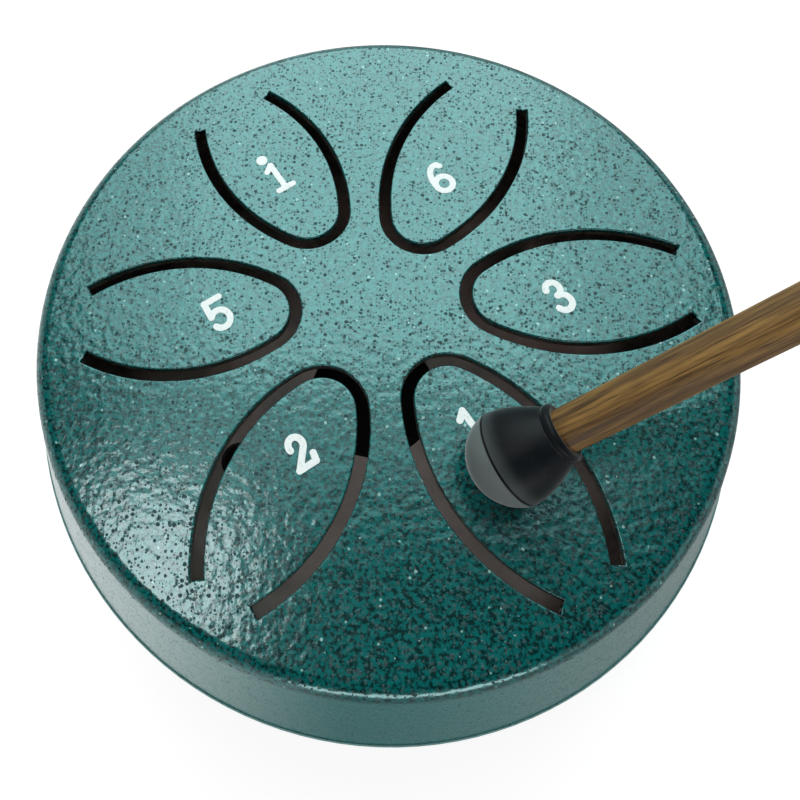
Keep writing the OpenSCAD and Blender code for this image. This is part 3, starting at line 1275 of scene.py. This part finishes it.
@dataclass(frozen=True)
class Studio:
    """White table, pale surroundings and soft lamps.

    The floor's rings and its gap under the feet are in millimetres. The radii at which its tone and
    its glow change are in metres.
    """

    world_light: float = 0.02
    horizon_light: float = 0.75
    horizon_edge: tuple = (0.50, 0.22)
    floor_tone: float = 0.25
    floor_gap: float = 0.02
    floor_rings: tuple = (1.0, 60.0, 300.0, 1500.0)
    floor_steps: int = 96
    # Painted shade: the floor is black and without glow under the sound hole.
    painted_shade_edge: tuple = (0.014, 0.022)
    painted_shade_tone: tuple = (0.01, 0.01, 0.01, 1.0)
    floor_glow: float = 0.86
    glow_edge: tuple = (0.12, 0.5)
    bounce_glow: float = 0.5
    card_glow: tuple = (0.76, 0.15)
    card_edge: float = 0.045
    lamps: tuple = (
        Softbox("window_far", 90.0, 48.0, 0.55, 0.62, 0.52, 3.0, (0.88, 1.0, 1.0)),
        Softbox("window_core", 92.0, 50.0, 0.56, 0.34, 0.44, 0.70, (0.88, 1.0, 1.0)),
        Softbox("ceiling", 90.0, 78.0, 0.55, 0.46, 0.12, 0.22, (0.88, 1.0, 1.0)),
        Softbox(
            "lamp_over", 172.0, 74.8, 0.40, 0.10, 0.10, 0.30, (1.0, 0.76, 0.76), (-28.0, -36.0, 33.2)
        ),
        Softbox("fill_near", -80.0, 9.0, 0.60, 0.50, 0.15, 1.1, (1.0, 1.0, 1.0)),
    )

    def build_world(self) -> None:
        """Sets even pale light all round, and plain white where the camera looks past the floor."""
        world = bpy.data.worlds.new("pale_room")
        bpy.context.scene.world = world
        world.use_nodes = True
        wires = Wires(world.node_tree)
        seen = wires.fed("ShaderNodeLightPath", {}, "Is Camera Ray")
        rise = wires.part(wires.fed("ShaderNodeTexCoord", {}, "Generated"), Z)
        low = wires.step(rise, *self.horizon_edge)
        lift = self.horizon_light - self.world_light
        sky = wires.math("MULTIPLY_ADD", low, lift, self.world_light)
        feeds = {"Color": (1.0, 1.0, 1.0, 1.0), "Strength": wires.math("MAXIMUM", seen, sky)}
        wires.feed(world.node_tree.nodes["Background"], feeds)

    def floor_material(self) -> Material:
        """Builds the table's finish: matt and pale, with painted shade under the sound hole (black and
        without glow), and clear from below.

        Its glow shows it white to the camera, gives the drum's sides the light that a white table
        throws up, and puts a bright card at each side into the drum's reflections.

        Returns:
            The material.
        """
        coat = Coat(Finish.FLOOR)
        flat = coat.vector("MULTIPLY", coat.place(), (1.0, 1.0, 0.0))
        out = coat.vector("LENGTH", flat, output="Value")
        # Painted shade: black and without glow within these radii, under the sound hole.
        unshaded_share = coat.step(out, *self.painted_shade_edge)
        path = coat.add("ShaderNodeLightPath").outputs
        across = coat.part(flat, X)
        cards = [
            coat.math("MULTIPLY", coat.step(across, 0.0, edge), glow)
            for edge, glow in zip((-self.card_edge, self.card_edge), self.card_glow)
        ]
        mirrored = coat.math("MULTIPLY", path["Is Glossy Ray"], coat.math("ADD", *cards))
        bounced = coat.math("MULTIPLY_ADD", path["Is Diffuse Ray"], self.bounce_glow, mirrored)
        glowing = coat.span(coat.step(out, *self.glow_edge), self.floor_glow, 1.0)
        shown = coat.math("MULTIPLY_ADD", path["Is Camera Ray"], glowing, bounced)
        glow = coat.fed("ShaderNodeEmission", {"Strength": coat.math("MULTIPLY", shown, unshaded_share)})
        total = coat.fed("ShaderNodeAddShader", {0: coat.shader.outputs[0], 1: glow})
        below = coat.fed("ShaderNodeNewGeometry", {}, "Backfacing")
        clear = coat.fed("ShaderNodeBsdfTransparent", {})
        one_way = coat.fed("ShaderNodeMixShader", {0: below, 1: total, 2: clear})
        coat.feed(coat.tree.nodes["Material Output"], {"Surface": one_way})
        pale = (self.floor_tone,) * 3 + (1.0,)
        return coat.finished({
            "Base Color": coat.mix(unshaded_share, self.painted_shade_tone, pale),
            "Roughness": 0.9,
            "Specular IOR Level": 0.1,
        })

    def build_floor(self) -> None:
        """Builds a round table top under the feet, which keeps the drum's soft shadow."""
        low = CAD_BOX[0][2] / MM - self.floor_gap
        profile = np.array([[radius, low] for radius in self.floor_rings])
        points, normals = sweep(profile, np.tile([0.0, 1.0], (len(profile), 1)), self.floor_steps)
        kit = MeshKit()
        kit.grid(points[::-1], normals, 0)
        middle = np.concatenate([points[0], [[0.0, 0.0, low]]])
        order = np.arange(self.floor_steps)
        fan = np.stack([order, np.roll(order, -1), np.full(len(order), len(order))], axis=1)
        kit.patch(middle, np.tile([0.0, 0.0, 1.0], (len(middle), 1)), fan, 0)
        floor = kit.build("floor", [self.floor_material()])

    def build(self) -> None:
        """Builds the surroundings."""
        self.build_world()
        self.build_floor()
        for lamp in self.lamps:
            lamp.build()
        bpy.context.scene.view_settings.view_transform = "Standard"


def main() -> None:
    """Builds the camera, the studio and the dressed pieces, in that order."""
    logging.basicConfig(level=logging.INFO)
    PhotoCamera().build()
    Studio().build()
    effects = Effects(speckle_group(), peel_group(), dust_group())
    paint = TealPaint().build(effects)
    # The weld's pale side tone is a painted reflection of the table along the seam.
    weld = TealPaint(
        side=(0.10, 0.26, 0.25, 1.0), rough=(0.50, 0.60), finish=Finish.WELD
    ).build(effects)
    dish_finishes = [paint, CutSteel().build(), RawSteel().build()]
    ink = WhiteInk().build(effects)
    mallet = Mallet()
    head = MouldedRubber(
        Finish.HEAD,
        base=(0.002, 0.0035, 0.0045, 1.0),
        dusty=(0.07, 0.075, 0.075, 1.0),
        rough=(0.40, 0.52),
        # Pale dome: partly wear and partly painted light.
        scuffed_and_lit=(0.130, 0.158, 0.154, 1.0),
        axis=mallet.axis(),
        parting=mallet.parting,
    ).build(effects)
    foot = MouldedRubber(
        Finish.FOOT, base=(0.010, 0.010, 0.010, 1.0), dusty=(0.08, 0.08, 0.08, 1.0), rough=(0.55, 0.72)
    ).build(effects)
    wood = OiledWood(mallet.turn()).build()
    shell = TopShell()
    LOG.info("built %s", shell.build(dish_finishes).name)
    LOG.info("built %s", BottomShell().build(dish_finishes).name)
    for numeral in Numerals(shell).build(ink):
        LOG.info("built %s", numeral.name)
    dress_node("weld_bead", weld)
    for name in ("foot_1", "foot_2", "foot_3"):
        dress_node(name, foot)
    mallet.dress(head, wood)


if __name__ == "__main__":
    main()
